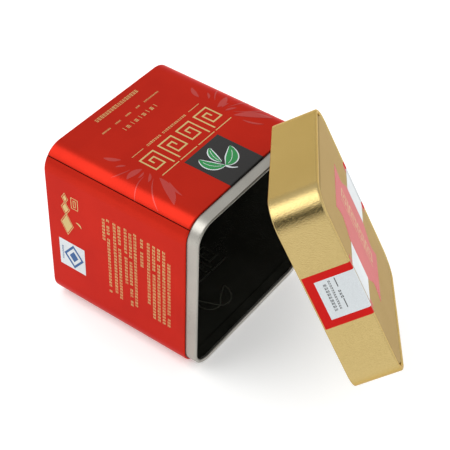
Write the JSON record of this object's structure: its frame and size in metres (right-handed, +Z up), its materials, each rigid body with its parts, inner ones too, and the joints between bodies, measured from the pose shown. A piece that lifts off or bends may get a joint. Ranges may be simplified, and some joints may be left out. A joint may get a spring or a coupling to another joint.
{
  "type": "square slip-lid tin",
  "caption": "Square printed tin lying on its side, with rounded corners, a bare neck sleeve, a black inside and a loose gold slip lid propped at its mouth.",
  "frame": {"origin": "middle of the body wrap's side face that rests on the floor", "axes": "+Z up; the tin's axis lies along Y, with the open mouth towards -Y and the closed base towards +Y; +X is to the right of someone facing the mouth from -Y"},
  "size_m": [0.086, 0.159, 0.1191],
  "materials": {
    "printed_tinplate": "gloss red print on tinplate, black lacquer inside",
    "base_tinplate": "black lacquer inside, bare tinplate outside",
    "bare_tinplate": "bare satin tinplate",
    "gold_tinplate": "satin gold lacquer",
    "lid_panel_tinplate": "satin gold lacquer, printed"
  },
  "bodies": {
    "tin": {"body_wrap": "printed_tinplate", "base_panel": "base_tinplate", "neck_sleeve": "bare_tinplate"},
    "lid": {"lid_wall": "gold_tinplate", "lid_top_panel": "lid_panel_tinplate"}
  },
  "joints": [
    {"name": "lid_lift", "type": "slide", "parent": "tin", "child": "lid", "axis": [0, 0, 1], "range_m": [0, 0.12]}
  ]
}
